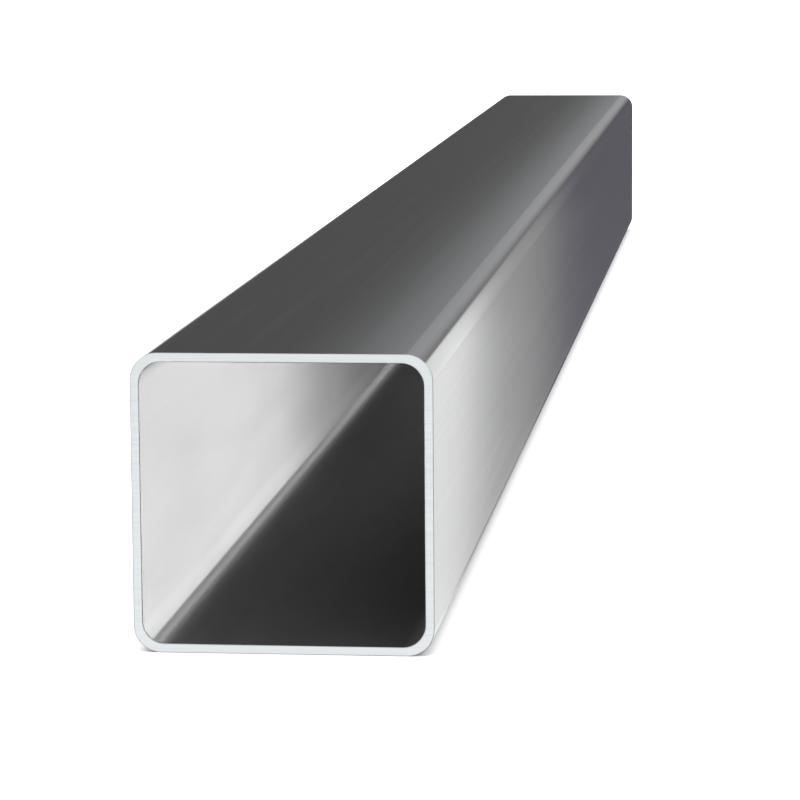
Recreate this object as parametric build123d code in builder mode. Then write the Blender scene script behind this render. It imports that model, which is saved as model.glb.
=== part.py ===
from build123d import *

import os

# A length of cold-formed square steel tube, sawn square at both ends and deburred.
#
# Millimetres, +Z up. The tube lies along Y on its bottom wall, with its near end towards -Y.
# The origin is under the middle of the tube, on the plane that the bottom wall rests on.

# Driving dimensions
side = 100.0  # outside, across two opposite flats
wall = 3.0  # thickness of the four flat walls
length = 1500.0  # between the two sawn ends
outer_corner_radius = 9.0  # the roll-formed corner, outside
corner_build_up = 1.5  # the forming rolls push metal into the corners, so the inner radius is larger by this
edge_break = 0.3  # 45 degree deburring along every sawn edge

# Sizes that follow from the driving dimensions
bore = side - 2 * wall
inner_corner_radius = outer_corner_radius - wall + corner_build_up
mid_height = side / 2


# One piece of strip, rolled square and welded along its seam, so the whole tube is one solid
with BuildPart() as square_tube:
    # The cross-section, drawn on the near end and looking along the tube
    with BuildSketch(Plane.XZ.offset(length / 2)) as section:
        with Locations((0, mid_height)):
            RectangleRounded(side, side, outer_corner_radius)
            RectangleRounded(bore, bore, inner_corner_radius, mode=Mode.SUBTRACT)
    extrude(amount=-length)

    # The saw leaves a sharp outer and inner edge round each end, which are broken by hand
    ends_along_tube = square_tube.faces().sort_by(Axis.Y)
    near_end = ends_along_tube[0]
    far_end = ends_along_tube[-1]
    chamfer(near_end.edges() + far_end.edges(), length=edge_break)

square_tube.part.label = "square_tube"

os.makedirs("parts", exist_ok=True)
export_step(square_tube.part, "parts/square_tube.step")
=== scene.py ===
# %% [markdown]
# # A length of square steel tube
#
# The object is one piece: a strip of steel, rolled round, welded, pressed square between forming
# rolls, sawn to length and deburred. It lies on a pale studio floor and is seen almost along its
# axis, so one open end fills the foreground and the four long walls run away from it.
#
# With only one shape to make, the work goes into what makes bare metal look like metal: corners
# with a true radius, a surface that scatters light the way rolled steel does, and a studio for it
# to reflect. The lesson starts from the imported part, which fixes the size and the place.

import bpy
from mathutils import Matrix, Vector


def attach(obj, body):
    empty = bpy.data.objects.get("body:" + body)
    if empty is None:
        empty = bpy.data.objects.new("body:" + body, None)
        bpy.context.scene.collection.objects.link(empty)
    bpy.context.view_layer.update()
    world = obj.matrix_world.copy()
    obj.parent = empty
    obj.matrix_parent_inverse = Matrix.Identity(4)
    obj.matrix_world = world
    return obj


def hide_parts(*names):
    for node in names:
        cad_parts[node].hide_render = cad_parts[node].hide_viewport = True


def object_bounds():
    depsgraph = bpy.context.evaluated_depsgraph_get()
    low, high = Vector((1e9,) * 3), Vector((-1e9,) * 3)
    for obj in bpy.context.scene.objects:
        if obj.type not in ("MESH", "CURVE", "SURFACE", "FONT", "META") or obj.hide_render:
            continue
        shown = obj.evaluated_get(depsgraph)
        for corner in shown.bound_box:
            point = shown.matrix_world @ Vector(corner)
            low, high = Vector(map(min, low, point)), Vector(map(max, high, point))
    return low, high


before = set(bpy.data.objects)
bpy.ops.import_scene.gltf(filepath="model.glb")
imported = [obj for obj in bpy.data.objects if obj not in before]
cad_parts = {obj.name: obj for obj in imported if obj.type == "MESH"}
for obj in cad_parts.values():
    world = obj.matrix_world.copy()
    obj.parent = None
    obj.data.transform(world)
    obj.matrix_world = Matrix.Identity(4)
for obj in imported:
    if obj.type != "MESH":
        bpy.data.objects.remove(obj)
cad_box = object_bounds()

print("packed pieces:", sorted(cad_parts))

# %% [markdown]
# ## Sizes
#
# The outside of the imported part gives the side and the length. What lies between those faces,
# the wall, the two corner radii and the broken edge, can't be read off a box, so these four are
# written here in metres, as they are on the real tube.

# %% Sizes in metres
import math

import bpy
from mathutils import Matrix, Vector
from mathutils.bvhtree import BVHTree

MM = 0.001

cad_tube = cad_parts["square_tube"]
low, high = cad_box
side = high.x - low.x
length = high.y - low.y
mid_height = (low.z + high.z) / 2
wall = 3 * MM
outer_radius = 9 * MM
inner_radius = 7.5 * MM
edge_break = 0.3 * MM

print(f"tube: {side / MM:.1f} mm square, {length / MM:.0f} mm long")

# %% [markdown]
# ## The shape
#
# A square tube could be a cube with a hole cut through it and a bevel on every edge. Boolean cuts
# and bevels leave long thin triangles, though, and polished corners show each of them. Drawing the
# section once and repeating it along the tube gives clean four-sided faces instead. It also lets
# every point know which way the surface really faces there, so the corners shade as true arcs.
#
# The section is a turn round a square: an arc at each corner, then a flat up to the next arc.

# %% One turn round the section
corner_steps = 16
flat_steps = 12


def section(half, radius):
    """Places (x, z) once round a square with round corners, each with the direction out of it."""
    turn = []
    for corner in range(4):
        quarter = Matrix.Rotation(corner * math.pi / 2, 2)
        centre = Vector((half - radius, half - radius))
        for step in range(corner_steps + 1):
            angle = step / corner_steps * math.pi / 2
            outward = Vector((math.cos(angle), math.sin(angle)))
            turn.append((quarter @ (centre + radius * outward), quarter @ outward))
        for step in range(1, flat_steps):
            along_flat = (half - radius) * (1 - 2 * step / flat_steps)
            turn.append((quarter @ Vector((along_flat, half)), quarter @ Vector((0, 1))))
    return turn


print("points round the section:", len(section(side / 2, outer_radius)))

# %% [markdown]
# The sections are set out as rings: along the outside to the far end, over the sawn face, back
# through the bore, and over the near sawn face to where they began. Each ring says how its
# normals lean, from straight out of the wall to straight along the tube. On the 0.3 mm edge
# breaks the normals roll over from one to the other, as they do on an edge rounded with a file,
# and that rounding draws a fine line round the cut.

# %% Rings from end to end and back
length_steps = 60

half = side / 2
end = length / 2
wall_end = end - edge_break
outside = section(half, outer_radius)
bore = section(half - wall, inner_radius)
outside_lip = section(half - edge_break, outer_radius - edge_break)
bore_lip = section(half - wall + edge_break, inner_radius + edge_break)
stations = [wall_end * (2 * step / length_steps - 1) for step in range(length_steps + 1)]

SKIN, CUT, BORE = range(3)

# Each ring: its section, its place along the tube, its normal's share outwards and along the
# tube, and the finish of the band between it and the next ring
rings = [(outside, y, 1, 0, SKIN) for y in stations[:-1]]
rings += [(outside, wall_end, 1, 0, CUT)]
rings += [(outside_lip, end, 0, 1, CUT), (bore_lip, end, 0, 1, CUT)]
rings += [(bore, -y, -1, 0, BORE) for y in stations[:-1]]
rings += [(bore, -wall_end, -1, 0, CUT)]
rings += [(bore_lip, -end, 0, -1, CUT), (outside_lip, -end, 0, -1, CUT)]

print("rings:", len(rings))

# %% [markdown]
# Four-sided faces join each ring to the next, all the way round, and the last ring to the first.
# Nothing is left open, so the mesh is as watertight as the metal. The normals worked out above
# are handed to the mesh with the faces.

# %% The tube's mesh
around = len(outside)
points, normals, faces, finishes = [], [], [], []
for ring, (turn, y, outwards, lengthways, finish) in enumerate(rings):
    following = (ring + 1) % len(rings)
    for place, ((x, z), direction) in enumerate(turn):
        points.append((x, y, z + mid_height))
        normals.append((outwards * direction.x, lengthways, outwards * direction.y))
        neighbour = (place + 1) % around
        faces.append(
            (
                ring * around + place,
                following * around + place,
                following * around + neighbour,
                ring * around + neighbour,
            )
        )
        finishes.append(finish)

mesh = bpy.data.meshes.new("rolled_tube")
mesh.from_pydata(points, [], faces)
mesh.polygons.foreach_set("material_index", finishes)
mesh.shade_smooth()
mesh.normals_split_custom_set_from_vertices(normals)

tube = bpy.data.objects.new("rolled_tube", mesh)
bpy.context.collection.objects.link(tube)
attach(tube, "root")
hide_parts("square_tube")

cad_surface = BVHTree.FromPolygons(
    [v.co for v in cad_tube.data.vertices], [p.vertices for p in cad_tube.data.polygons]
)
furthest = max(cad_surface.find_nearest(Vector(point))[3] for point in points)
print(f"faces: {len(faces)}, furthest from the packed surface: {furthest / MM:.3f} mm")

# %% [markdown]
# ## Helpers for the finishes
#
# Colours are easiest to judge as the hex values a screen shows, but shaders add and multiply
# light, so one function turns hex into linear values. A second adds a node, sets it up and wires
# its inputs in one go, which keeps each finish readable from top to bottom.

# %% Colour and node helpers
KNEE = 0.04045  # the sRGB curve is a straight line below this value


def linear(hex_colour):
    """The linear colour, with full alpha, of an sRGB hex colour such as #808080."""
    channels = [int(hex_colour[place : place + 2], 16) / 255 for place in (1, 3, 5)]
    return (*[c / 12.92 if c <= KNEE else ((c + 0.055) / 1.055) ** 2.4 for c in channels], 1.0)


def add(tree, kind, inputs=None, **settings):
    """Adds a node. Each of its inputs takes a value, or the output of another node."""
    node = tree.nodes.new(kind)
    for name, setting in settings.items():
        setattr(node, name, setting)
    for socket, given in (inputs or {}).items():
        if isinstance(given, bpy.types.NodeSocket):
            tree.links.new(given, node.inputs[socket])
        else:
            node.inputs[socket].default_value = given
    return node


def new_finish(name):
    """An empty material and its node tree."""
    finish = bpy.data.materials.new(name)
    finish.use_nodes = True
    finish.node_tree.nodes.clear()
    return finish, finish.node_tree


print("mid grey #808080 in linear light:", round(linear("#808080")[0], 3))

# %% [markdown]
# ## Cold-rolled steel, outside
#
# The strip comes off a rolling mill with a smooth grey face, and the forming rolls then drag fine
# lines down its length. Mills send it out under a film of oil. The eye reads that from four
# things: it mirrors its surroundings softly, the mirror is blurred across the lines but sharp
# along them, faint lines and streaks of oil run lengthwise, and the corners, which the rolls have
# pressed hardest, are more even and a little duller than the flats.
#
# A bare metal has no colour of its own besides its reflections, so metallic is 1. Blender's
# anisotropy blurs the mirror in one direction, with the tangent running round the tube. Noise
# that is stretched along the tube draws the lines and the streaks.

# %% Where the corners are
flat_ends = side / 2 - outer_radius
fade_before = 3 * MM
fade_after = 2 * MM


def corner_share(tree, place):
    """0 on the flats and 1 on the four corners, from a place in metres."""
    across, _, up = add(tree, "ShaderNodeSeparateXYZ", {"Vector": place}).outputs
    up = add(tree, "ShaderNodeMath", {0: up, 1: mid_height}, operation="SUBTRACT").outputs[0]
    sizes = [
        add(tree, "ShaderNodeMath", {0: distance}, operation="ABSOLUTE").outputs[0]
        for distance in (across, up)
    ]
    lesser = add(tree, "ShaderNodeMath", dict(enumerate(sizes)), operation="MINIMUM").outputs[0]
    share = add(
        tree,
        "ShaderNodeMapRange",
        {"Value": lesser, "From Min": flat_ends - fade_before, "From Max": flat_ends + fade_after},
        interpolation_type="SMOOTHSTEP",
    )
    return share.outputs["Result"]


print("corners start", round(flat_ends / MM, 1), "mm from the axis")

# %% Streaks that run along the tube
def streaks(tree, place, width, run, **look):
    """Noise in metres, as wide as width across the tube and as long as run along it."""
    stretched = add(
        tree, "ShaderNodeMapping", {"Vector": place, "Scale": (1 / width, 1 / run, 1 / width)}
    )
    noise = add(
        tree,
        "ShaderNodeTexNoise",
        {"Vector": stretched.outputs["Vector"], "Scale": 1.0, **look},
    )
    return noise.outputs["Fac"]


# Nearly all of a noise lies between these two values
noise_low = 0.3
noise_high = 0.7

line_spacing = 0.7 * MM  # real draw lines are about 0.1 mm apart, which is too fine to show here
line_run = 260 * MM
line_depth = 0.0006 * MM
line_look = {"Detail": 2.0, "Roughness": 0.6}

print(f"draw lines: {line_spacing / MM:.1f} mm apart and {line_run / MM:.0f} mm long")

# %% The colour of the rolled skin
oil_width = 6 * MM
oil_run = 400 * MM
oiled_steel = linear("#c2c3c4")
dry_steel = linear("#d3d4d6")
shade_in_a_line = linear("#dcdcdc")
no_shade = linear("#ffffff")
pressed_steel = linear("#bfc0c1")

skin, tree = new_finish("rolled_steel_skin")
place = add(tree, "ShaderNodeTexCoord").outputs["Object"]
corners = corner_share(tree, place)
lines = streaks(tree, place, line_spacing, line_run, **line_look)
oil = streaks(tree, place, oil_width, oil_run, Detail=4.0, Roughness=0.55, Distortion=0.3)

steel = add(
    tree,
    "ShaderNodeMix",
    {"Factor": oil, "A": oiled_steel, "B": dry_steel},
    data_type="RGBA",
)
lined = add(
    tree,
    "ShaderNodeMix",
    {"Factor": lines, "A": shade_in_a_line, "B": no_shade},
    data_type="RGBA",
)
coloured = add(
    tree,
    "ShaderNodeMix",
    {"Factor": 1.0, "A": steel.outputs["Result"], "B": lined.outputs["Result"]},
    data_type="RGBA",
    blend_type="MULTIPLY",
)
skin_colour = add(
    tree,
    "ShaderNodeMix",
    {"Factor": corners, "A": coloured.outputs["Result"], "B": pressed_steel},
    data_type="RGBA",
)

print("colour nodes on the skin:", len(tree.nodes))

# %% How the rolled skin mirrors
oiled_roughness = 0.08
dry_roughness = 0.09
corner_roughness = 0.11

satin = add(
    tree,
    "ShaderNodeMapRange",
    {
        "Value": oil,
        "From Min": noise_low,
        "From Max": noise_high,
        "To Min": oiled_roughness,
        "To Max": dry_roughness,
    },
)
roughness = add(
    tree,
    "ShaderNodeMix",
    {"Factor": corners, "A": satin.outputs["Result"], "B": corner_roughness},
)
relief = add(
    tree, "ShaderNodeBump", {"Height": lines, "Distance": line_depth, "Strength": 1.0}
)
round_the_tube = add(tree, "ShaderNodeTangent", direction_type="RADIAL", axis="Y")
shader = add(
    tree,
    "ShaderNodeBsdfPrincipled",
    {
        "Base Color": skin_colour.outputs["Result"],
        "Metallic": 1.0,
        "Roughness": roughness.outputs["Result"],
        "Anisotropic": 0.95,
        "Normal": relief.outputs["Normal"],
        "Tangent": round_the_tube.outputs["Tangent"],
    },
)
add(tree, "ShaderNodeOutputMaterial", {"Surface": shader.outputs["BSDF"]})

print(f"finish: {skin.name}, roughness {oiled_roughness} to {corner_roughness}")

# %% [markdown]
# ## Sawn steel, at the ends
#
# A band saw cuts the tube to length. Its blade runs across the tube and leaves fine parallel
# marks, and the fresh cut is brighter than the rolled face because nothing has dulled it yet. The
# eye sees a pale ring with a faint grain that runs one way, whichever wall the cut crosses.
#
# The marks are noise squeezed along the blade's run. They are one direction for the whole cut,
# which is what tells a sawn face from a turned one.

# %% Sawn steel
mark_spacing = 0.8 * MM  # a blade's marks are 0.3 to 1 mm apart, and these are of the coarser kind
mark_run = 40 * MM
mark_depth = 0.004 * MM
steel_in_a_mark = linear("#ccd1d2")
freshly_cut_steel = linear("#ebeff1")
least_roughness = 0.3
most_roughness = 0.36

cut, tree = new_finish("sawn_steel")
place = add(tree, "ShaderNodeTexCoord").outputs["Object"]
stretched = add(
    tree,
    "ShaderNodeMapping",
    {"Vector": place, "Scale": (1 / mark_run, 1 / mark_spacing, 1 / mark_spacing)},
)
marks = add(
    tree,
    "ShaderNodeTexNoise",
    {"Vector": stretched.outputs["Vector"], "Scale": 1.0, "Detail": 3.0, "Roughness": 0.6},
).outputs["Fac"]
bright = add(
    tree,
    "ShaderNodeMix",
    {"Factor": marks, "A": steel_in_a_mark, "B": freshly_cut_steel},
    data_type="RGBA",
)
roughness = add(
    tree,
    "ShaderNodeMapRange",
    {
        "Value": marks,
        "From Min": noise_low,
        "From Max": noise_high,
        "To Min": least_roughness,
        "To Max": most_roughness,
    },
)
relief = add(
    tree, "ShaderNodeBump", {"Height": marks, "Distance": mark_depth, "Strength": 1.0}
)
across_the_marks = add(tree, "ShaderNodeTangent", direction_type="RADIAL", axis="X")
shader = add(
    tree,
    "ShaderNodeBsdfPrincipled",
    {
        "Base Color": bright.outputs["Result"],
        "Metallic": 1.0,
        "Roughness": roughness.outputs["Result"],
        "Anisotropic": 0.4,
        "Normal": relief.outputs["Normal"],
        "Tangent": across_the_marks.outputs["Tangent"],
    },
)
add(tree, "ShaderNodeOutputMaterial", {"Surface": shader.outputs["BSDF"]})

print(f"finish: {cut.name}, marks {mark_spacing / MM:.1f} mm apart")

# %% [markdown]
# ## Oiled steel, in the bore, darkened with painted shade
#
# No roll ever touches the inside of the tube. It keeps the duller face of the strip, with rolling
# oil that has dried on it as a thin film. The eye reads it as the same metal, but darker and
# without the sharp reflections, with soft blotches where the oil has run. Part of the darkness is
# painted shade: the bore's colour is kept low so that its bottom, where little light falls, reads
# almost black, while the lamps in the bore light the left wall.
#
# The film is what the lower metallic value stands for: most of the light is scattered by the film
# and only the rest is mirrored by the steel under it.

# %% Oiled steel in the bore, darkened with painted shade
film_width = 12 * MM
film_run = 90 * MM
# Both film colours are darker than the outside partly as painted shade; the change between them is
# the oil's own blotching.
thick_film_and_painted_shade = linear("#3e3e3e")
thin_film_and_painted_shade = linear("#484848")
least_roughness = 0.7
most_roughness = 0.8

inside, tree = new_finish("oiled_bore_steel_with_painted_shade")
place = add(tree, "ShaderNodeTexCoord").outputs["Object"]
film = streaks(tree, place, film_width, film_run, Detail=5.0, Roughness=0.6, Distortion=0.5)
lines = streaks(tree, place, line_spacing, line_run, **line_look)
bore_colour_with_painted_shade = add(
    tree,
    "ShaderNodeMix",
    {"Factor": film, "A": thick_film_and_painted_shade, "B": thin_film_and_painted_shade},
    data_type="RGBA",
)
roughness = add(
    tree,
    "ShaderNodeMapRange",
    {
        "Value": film,
        "From Min": noise_low,
        "From Max": noise_high,
        "To Min": least_roughness,
        "To Max": most_roughness,
    },
)
relief = add(
    tree, "ShaderNodeBump", {"Height": lines, "Distance": line_depth, "Strength": 1.0}
)
shader = add(
    tree,
    "ShaderNodeBsdfPrincipled",
    {
        "Base Color": bore_colour_with_painted_shade.outputs["Result"],
        "Metallic": 0.25,
        "Specular IOR Level": 0.15,
        "Roughness": roughness.outputs["Result"],
        "Normal": relief.outputs["Normal"],
    },
)
add(tree, "ShaderNodeOutputMaterial", {"Surface": shader.outputs["BSDF"]})

print(f"finish: {inside.name}, film {film_width / MM:.0f} mm wide")

# %% The finishes on the tube
for finish in (skin, cut, inside):
    mesh.materials.append(finish)

print("finishes on the tube:", [finish.name for finish in mesh.materials])

# %% [markdown]
# ## The camera
#
# The tube is seen from in front, a little above and to the right, so that the near end is almost
# square-on and still both the top and the right wall run away from it. A long lens gives that: it
# keeps the near ring square while the far end shrinks to less than half its size.
#
# The place comes from the picture, for a tube of this length: the far end's scale gives the
# distance, and how far its centre has moved gives the height and the step to the right. The lens,
# in millimetres on a sensor 36 mm wide, then gives the near end its size in the picture. The
# values are a least-squares fit to the near end's corners and the far end's place and scale. The
# picture doesn't fix the length: a longer tube, seen from further off, fits it better still.

# %% Camera
camera_data = bpy.data.cameras.new("camera")
camera_data.sensor_width = 36
camera_data.lens = 157.8
camera = bpy.data.objects.new("camera", camera_data)
bpy.context.collection.objects.link(camera)

to_the_right = 0.1626
before_the_end = 1.1217
eye_height = 0.2467
turned_left = math.radians(6.28)
tipped_up = math.radians(-8.15)
rolled = math.radians(0.41)
camera.matrix_world = (
    Matrix.Translation((to_the_right, -end - before_the_end, eye_height))
    @ Matrix.Rotation(turned_left, 4, "Z")
    @ Matrix.Rotation(tipped_up, 4, "X")
    @ Matrix.Rotation(rolled, 4, "Y")
    @ Matrix.Rotation(math.pi / 2, 4, "X")
)
bpy.context.scene.camera = camera

gap = (camera.location - Vector((0, -end, mid_height))).length
print("camera to near end:", round(gap, 3), "m")

# %% [markdown]
# ## The floor
#
# The floor is a wide sheet of white paper. It should look almost as white as the background and
# still show where the tube touches it, so it has a wide soft sun of its own, which lights nothing
# else. Light linking does that: a lamp's receiver collection lists what it shines on. The paper
# stays out of the metal's reflections, because the studio below stands for it there.

# %% Floor
floor_reach = 60
floor_mesh = bpy.data.meshes.new("floor")
floor_mesh.from_pydata(
    [(x * floor_reach, y * floor_reach, 0) for x, y in ((-1, -1), (1, -1), (1, 1), (-1, 1))],
    [],
    [(0, 1, 2, 3)],
)
floor = bpy.data.objects.new("floor", floor_mesh)
bpy.context.collection.objects.link(floor)
floor.visible_glossy = False
floor.visible_diffuse = False
floor.visible_shadow = False

paper, tree = new_finish("white_paper")
shader = add(tree, "ShaderNodeBsdfDiffuse", {"Color": linear("#f4f4f4")})
add(tree, "ShaderNodeOutputMaterial", {"Surface": shader.outputs["BSDF"]})
floor_mesh.materials.append(paper)

print("floor:", 2 * floor_reach, "m wide")

# %% The floor's own light
lit_floor = bpy.data.collections.new("lit_floor")
lit_floor.objects.link(floor)
sun_data = bpy.data.lights.new("floor_light", "SUN")
sun_data.energy = 3.3
sun_data.angle = math.radians(100)
sun = bpy.data.objects.new("floor_light", sun_data)
bpy.context.collection.objects.link(sun)
sun.light_linking.receiver_collection = lit_floor

# %% [markdown]
# ## The studio that the metal mirrors
#
# A bright metal shows its surroundings, so the studio is the larger half of how it looks. Product
# photographers put polished metal in a white tent and then set cards and lamps where the metal
# will mirror them. The world shader can do the same by direction alone.
#
# Most of the tent is plain: a white roof, a greyer horizon and a grey floor. In front of the near
# end a white sheet lies on that floor, and it is what the sawn ring mirrors.

# %% The plain part of the tent
world = bpy.data.worlds.new("studio")
bpy.context.scene.world = world
world.use_nodes = True
tree = world.node_tree
tree.nodes.clear()
direction = add(tree, "ShaderNodeTexCoord").outputs["Generated"]
right, away, up = add(tree, "ShaderNodeSeparateXYZ", {"Vector": direction}).outputs


def hang(tree, behind, cloth, value, edge):
    """Hangs a cloth in front of what is behind it. Its edge is soft between the two values."""
    start, finish = edge
    shown = add(
        tree,
        "ShaderNodeMapRange",
        {"Value": value, "From Min": start, "From Max": finish},
        interpolation_type="SMOOTHSTEP",
    )
    both = add(
        tree,
        "ShaderNodeMix",
        {"Factor": shown.outputs["Result"], "A": behind, "B": cloth},
        data_type="RGBA",
    )
    return both.outputs["Result"]


grey_floor = linear("#9c9c9c")
grey_horizon = linear("#b0b0b1")
white_roof = linear("#e9e9e9")
white_sheet = linear("#ffffff")
sheet_edge = (-0.5, -0.92)
horizon_edge = (-0.04, 0.1)
roof_edge = (0.05, 0.45)

tent = hang(tree, grey_floor, white_sheet, away, sheet_edge)
tent = hang(tree, tent, grey_horizon, up, horizon_edge)
tent = hang(tree, tent, white_roof, up, roof_edge)

print("tent nodes:", len(tree.nodes))

# %% [markdown]
# The camera sees the long walls at a very shallow angle, so in its picture they mirror only what
# stands straight behind the far end. Two cards go there. A direction is placed on them by its turn
# round the tube's axis and by how steeply it leaves that axis.
#
# The upper card is for the top wall and the upper corner: dark over the middle of the top wall,
# with a pale band at its right that draws the bright line on the corner. The side card is for the
# right wall, and goes from dark to white with the angle. The camera sees the wall's near end at
# the largest angle, so the wall is palest there and falls to dark towards the far end.
#
# The greys of both cards, and of the wall lamp in the bore, were first estimated by a least-squares
# fit of trial renders to the picture's light. They were then adjusted over more renders, cut to a
# few stops and rounded, and many of them still lie within a few levels of that fit.

# %% Places on the cards behind the far end
round_the_axis = add(tree, "ShaderNodeMath", {0: up, 1: right}, operation="ARCTAN2").outputs[0]
across = add(tree, "ShaderNodeCombineXYZ", {"X": right, "Z": up}).outputs["Vector"]
off_axis = add(tree, "ShaderNodeVectorMath", {0: across}, operation="LENGTH").outputs["Value"]
steepness = add(tree, "ShaderNodeMath", {0: off_axis, 1: away}, operation="DIVIDE").outputs[0]
rightward = add(tree, "ShaderNodeMath", {0: right, 1: off_axis}, operation="DIVIDE").outputs[0]

print("studio nodes so far:", len(tree.nodes))

# %% [markdown]
# On the side card a place is how far to the right a direction goes for each step away from the
# tube. It is worked out from the steepness and from the share of it that points right, which is
# 0.42 to 0.59 for all that the right wall mirrors.
#
# Holding that share outside its range carries the card's colours on round both corners, so the
# wall has no edge there. Inside the range it grows a little faster than it really does, to make up
# for the blur, and it rises once more where the middle of the upper corner mirrors the card.

# %% Places on the side card
held = add(
    tree,
    "ShaderNodeMapRange",
    {"Value": rightward, "From Min": 0.41, "From Max": 0.595, "To Min": 0.402, "To Max": 0.6},
)
raised = add(
    tree,
    "ShaderNodeMapRange",
    {"Value": rightward, "From Min": 0.85, "From Max": 1.0, "To Min": 0.0, "To Max": 0.01},
)
slant = add(
    tree, "ShaderNodeMath", {0: held.outputs["Result"], 1: raised.outputs["Result"]}
).outputs[0]
sideways = add(tree, "ShaderNodeMath", {0: slant, 1: steepness}, operation="MULTIPLY").outputs[0]

print("studio nodes with the side card's places:", len(tree.nodes))

# %% The upper card
def colours_along(tree, value, stops):
    """Colours along a card or a lamp, each at its place, with soft changes between them."""
    start, finish = stops[0][0], stops[-1][0]
    share = add(
        tree, "ShaderNodeMapRange", {"Value": value, "From Min": start, "From Max": finish}
    )
    ramp = add(tree, "ShaderNodeValToRGB", {"Fac": share.outputs["Result"]})
    elements = ramp.color_ramp.elements
    elements.remove(elements[1])
    for number, (stop, colour) in enumerate(stops):
        position = (stop - start) / (finish - start)
        element = elements.new(position) if number else elements[0]
        element.position = position
        element.color = linear(colour)
    return ramp.outputs["Color"]


# Degrees round the axis, from straight right over the top to straight left
upper_stops = [
    (30, "#5e5e5e"),  # the middle of the corner, which is dark
    (60, "#8e8e8f"),
    (80, "#98989a"),  # the bright line on the corner
    (110, "#919293"),
    (127, "#8f9091"),  # the top wall begins
    (131, "#797a7b"),
    (135, "#4d4d4d"),  # the rest of the top wall is dark
    (180, "#4c4c4c"),
]
upper_radians = [(math.radians(turn), colour) for turn, colour in upper_stops]
upper_card = colours_along(tree, round_the_axis, upper_radians)

print("stops on the upper card:", len(upper_stops))

# %% The side card
# Steps to the right for each step away from the tube
side_stops = [
    (0.05, "#56545b"),  # the far part of the right wall
    (0.062, "#54525a"),
    (0.07, "#888888"),
    (0.08, "#929292"),  # its grey middle
    (0.086, "#a4a4a4"),
    (0.094, "#efefef"),  # its pale front
    (0.11, "#dadada"),
    (0.2, "#b3b3b3"),
]
side_card = colours_along(tree, sideways, side_stops)

print("stops on the side card:", len(side_stops))

# %% [markdown]
# The upper card hangs above the side card, and both hang in the tent. The picture's own background
# is plain white, but a white world would wash the metal out. The Light Path node tells the rays
# that come straight from the camera from those that have left the metal, so each gets its own.

# %% The studio, and plain white for the camera
upper_card_edge = (math.radians(30), math.radians(38))
cards_edge = (0.87, 0.97)
cards = hang(tree, side_card, upper_card, round_the_axis, upper_card_edge)
studio = hang(tree, tent, cards, away, cards_edge)

seen_by_metal = add(tree, "ShaderNodeBackground", {"Color": studio, "Strength": 1.23})
seen_by_camera = add(tree, "ShaderNodeBackground", {"Color": (1, 1, 1, 1)})
rays = add(tree, "ShaderNodeLightPath")
both = add(
    tree,
    "ShaderNodeMixShader",
    {0: rays.outputs["Is Camera Ray"], 1: seen_by_metal.outputs[0], 2: seen_by_camera.outputs[0]},
)
add(tree, "ShaderNodeOutputWorld", {"Surface": both.outputs[0]})

# The default view greys a plain white, and the standard one leaves it as it is
bpy.context.scene.view_settings.view_transform = "Standard"

print("studio nodes:", len(tree.nodes))

# %% [markdown]
# ## Lamps inside the bore
#
# The left wall of the bore is as pale as the outside, its bottom is nearly black, and a crisp line
# along the corner between them tells the two apart. Light from the open end can't do that, because
# it falls on both. Three thin strip lamps inside the bore can.
#
# The wall lamp's narrow beam leans down a little, so the wall and the upper part of the corner
# take the light alike, and it stops at that line. The corner lamp shines straight down on the
# lower part of the corner and fades out over the bottom. The fill lamp lifts the bottom deep
# inside, where light from the open end no longer reaches. None of them shows in a mirror.

# %% A strip lamp for the bore
def strip_lamp(name, middle, lean, width, run, watts, beam, graded, stops):
    """
    A thin lamp from the near end inwards. Its beam points left and leans down by an angle, and its
    brightness is graded across its width, X, or along its run, Y.
    """
    data = bpy.data.lights.new(name, "AREA")
    data.shape = "RECTANGLE"
    data.size = width
    data.size_y = run
    data.energy = watts
    data.spread = math.radians(beam)
    data.use_nodes = True
    tree = data.node_tree
    tree.nodes.clear()
    place = add(tree, "ShaderNodeNewGeometry").outputs["Parametric"]
    share = add(tree, "ShaderNodeSeparateXYZ", {"Vector": place}).outputs[graded]
    glow = colours_along(tree, share, stops)
    emission = add(tree, "ShaderNodeEmission", {"Color": glow})
    add(tree, "ShaderNodeOutputLight", {"Surface": emission.outputs[0]})

    lamp = bpy.data.objects.new(name, data)
    bpy.context.collection.objects.link(lamp)
    stand = Matrix.Translation((middle.x, run / 2 - end, mid_height + middle.y))
    lamp.matrix_world = stand @ Matrix.Rotation(math.pi / 2 - lean, 4, "Y")
    lamp.visible_glossy = False
    lamp.visible_camera = False
    return lamp


# Places in the section are (right, up) from the tube's axis
half_bore = side / 2 - wall
line_turn = math.radians(55)  # how far round the corner the line is, from the wall to the bottom
corner_centre = (inner_radius - half_bore) * Vector((1, 1))
corner_line = corner_centre - inner_radius * Vector((math.cos(line_turn), math.sin(line_turn)))

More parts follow.
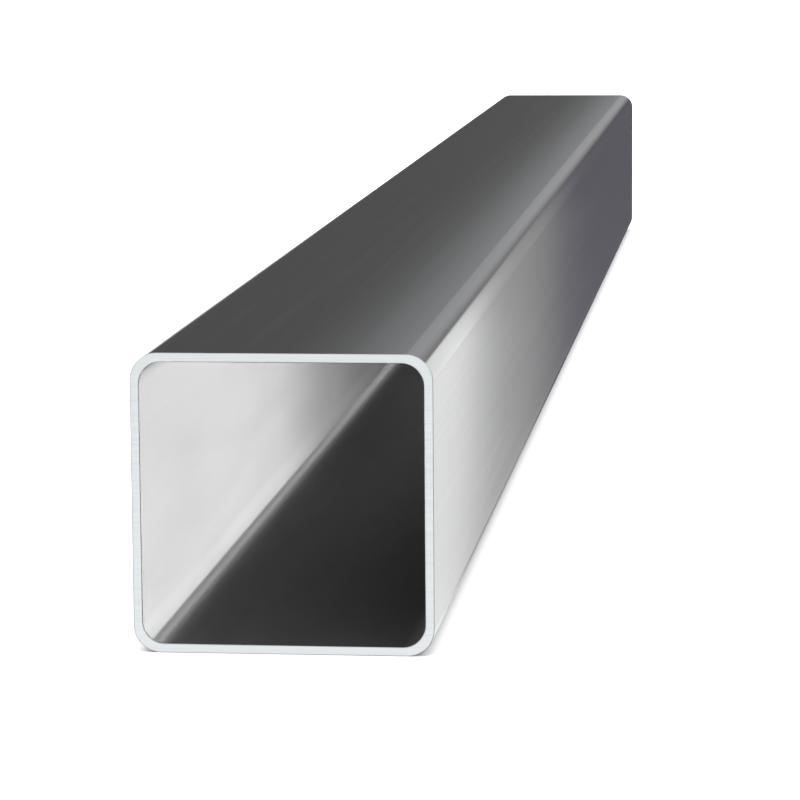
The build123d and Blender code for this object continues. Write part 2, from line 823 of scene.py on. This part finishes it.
print("line in the lower left corner:", [round(place / MM, 1) for place in corner_line], "mm")

# %% The wall lamp
wall_lean = math.radians(20)
off_the_wall = 4 * MM
under_the_roof = 0.5 * MM
up_the_lamp = Vector((-math.sin(wall_lean), math.cos(wall_lean)))
lamp_top = Vector((off_the_wall - half_bore, half_bore - under_the_roof))
wall_lamp_width = (lamp_top - corner_line).dot(up_the_lamp)
wall_lamp = strip_lamp(
    "bore_wall_lamp",
    lamp_top - up_the_lamp * wall_lamp_width / 2,
    wall_lean,
    wall_lamp_width,
    run=0.9,
    watts=4.46,
    beam=1.1,
    graded="Y",
    stops=[
        (0.25, "#ffffff"),
        (0.35, "#f4f4f4"),
        (0.5, "#b8b8b8"),
        (0.65, "#8e8e8e"),
        (0.8, "#6c6c6c"),
        (1.0, "#595959"),
    ],
)

print(f"{wall_lamp.name}: {wall_lamp_width / MM:.1f} mm wide")

# %% The corner lamp
straight_down = math.pi / 2
nearly_the_length = length - 2 * wall
above_the_corner = 12 * MM
corner_lamp_width = 15 * MM
corner_lamp = strip_lamp(
    "bore_corner_lamp",
    corner_line + Vector((corner_lamp_width / 2, above_the_corner)),
    straight_down,
    corner_lamp_width,
    run=nearly_the_length,
    watts=0.5,
    beam=1.5,
    graded="X",
    stops=[
        (0.0, "#f0f0f0"),
        (0.15, "#ffffff"),
        (0.25, "#aaaaaa"),
        (0.4, "#5a5a5a"),
        (0.6, "#282828"),
        (1.0, "#000000"),
    ],
)

print(f"{corner_lamp.name}: {corner_lamp_width / MM:.0f} mm wide")

# %% The fill lamp
under_the_roof = 1 * MM
fill_lamp_width = 60 * MM
fill_lamp = strip_lamp(
    "bore_fill_lamp",
    Vector((0, half_bore - under_the_roof)),
    straight_down,
    fill_lamp_width,
    run=nearly_the_length,
    watts=0.42,
    beam=70,
    graded="Y",
    stops=[
        (0.0, "#303030"),
        (0.1, "#505050"),
        (0.3, "#bcbcbc"),
        (0.45, "#ffffff"),
    ],
)

print(f"{fill_lamp.name}: {fill_lamp_width / MM:.0f} mm wide")
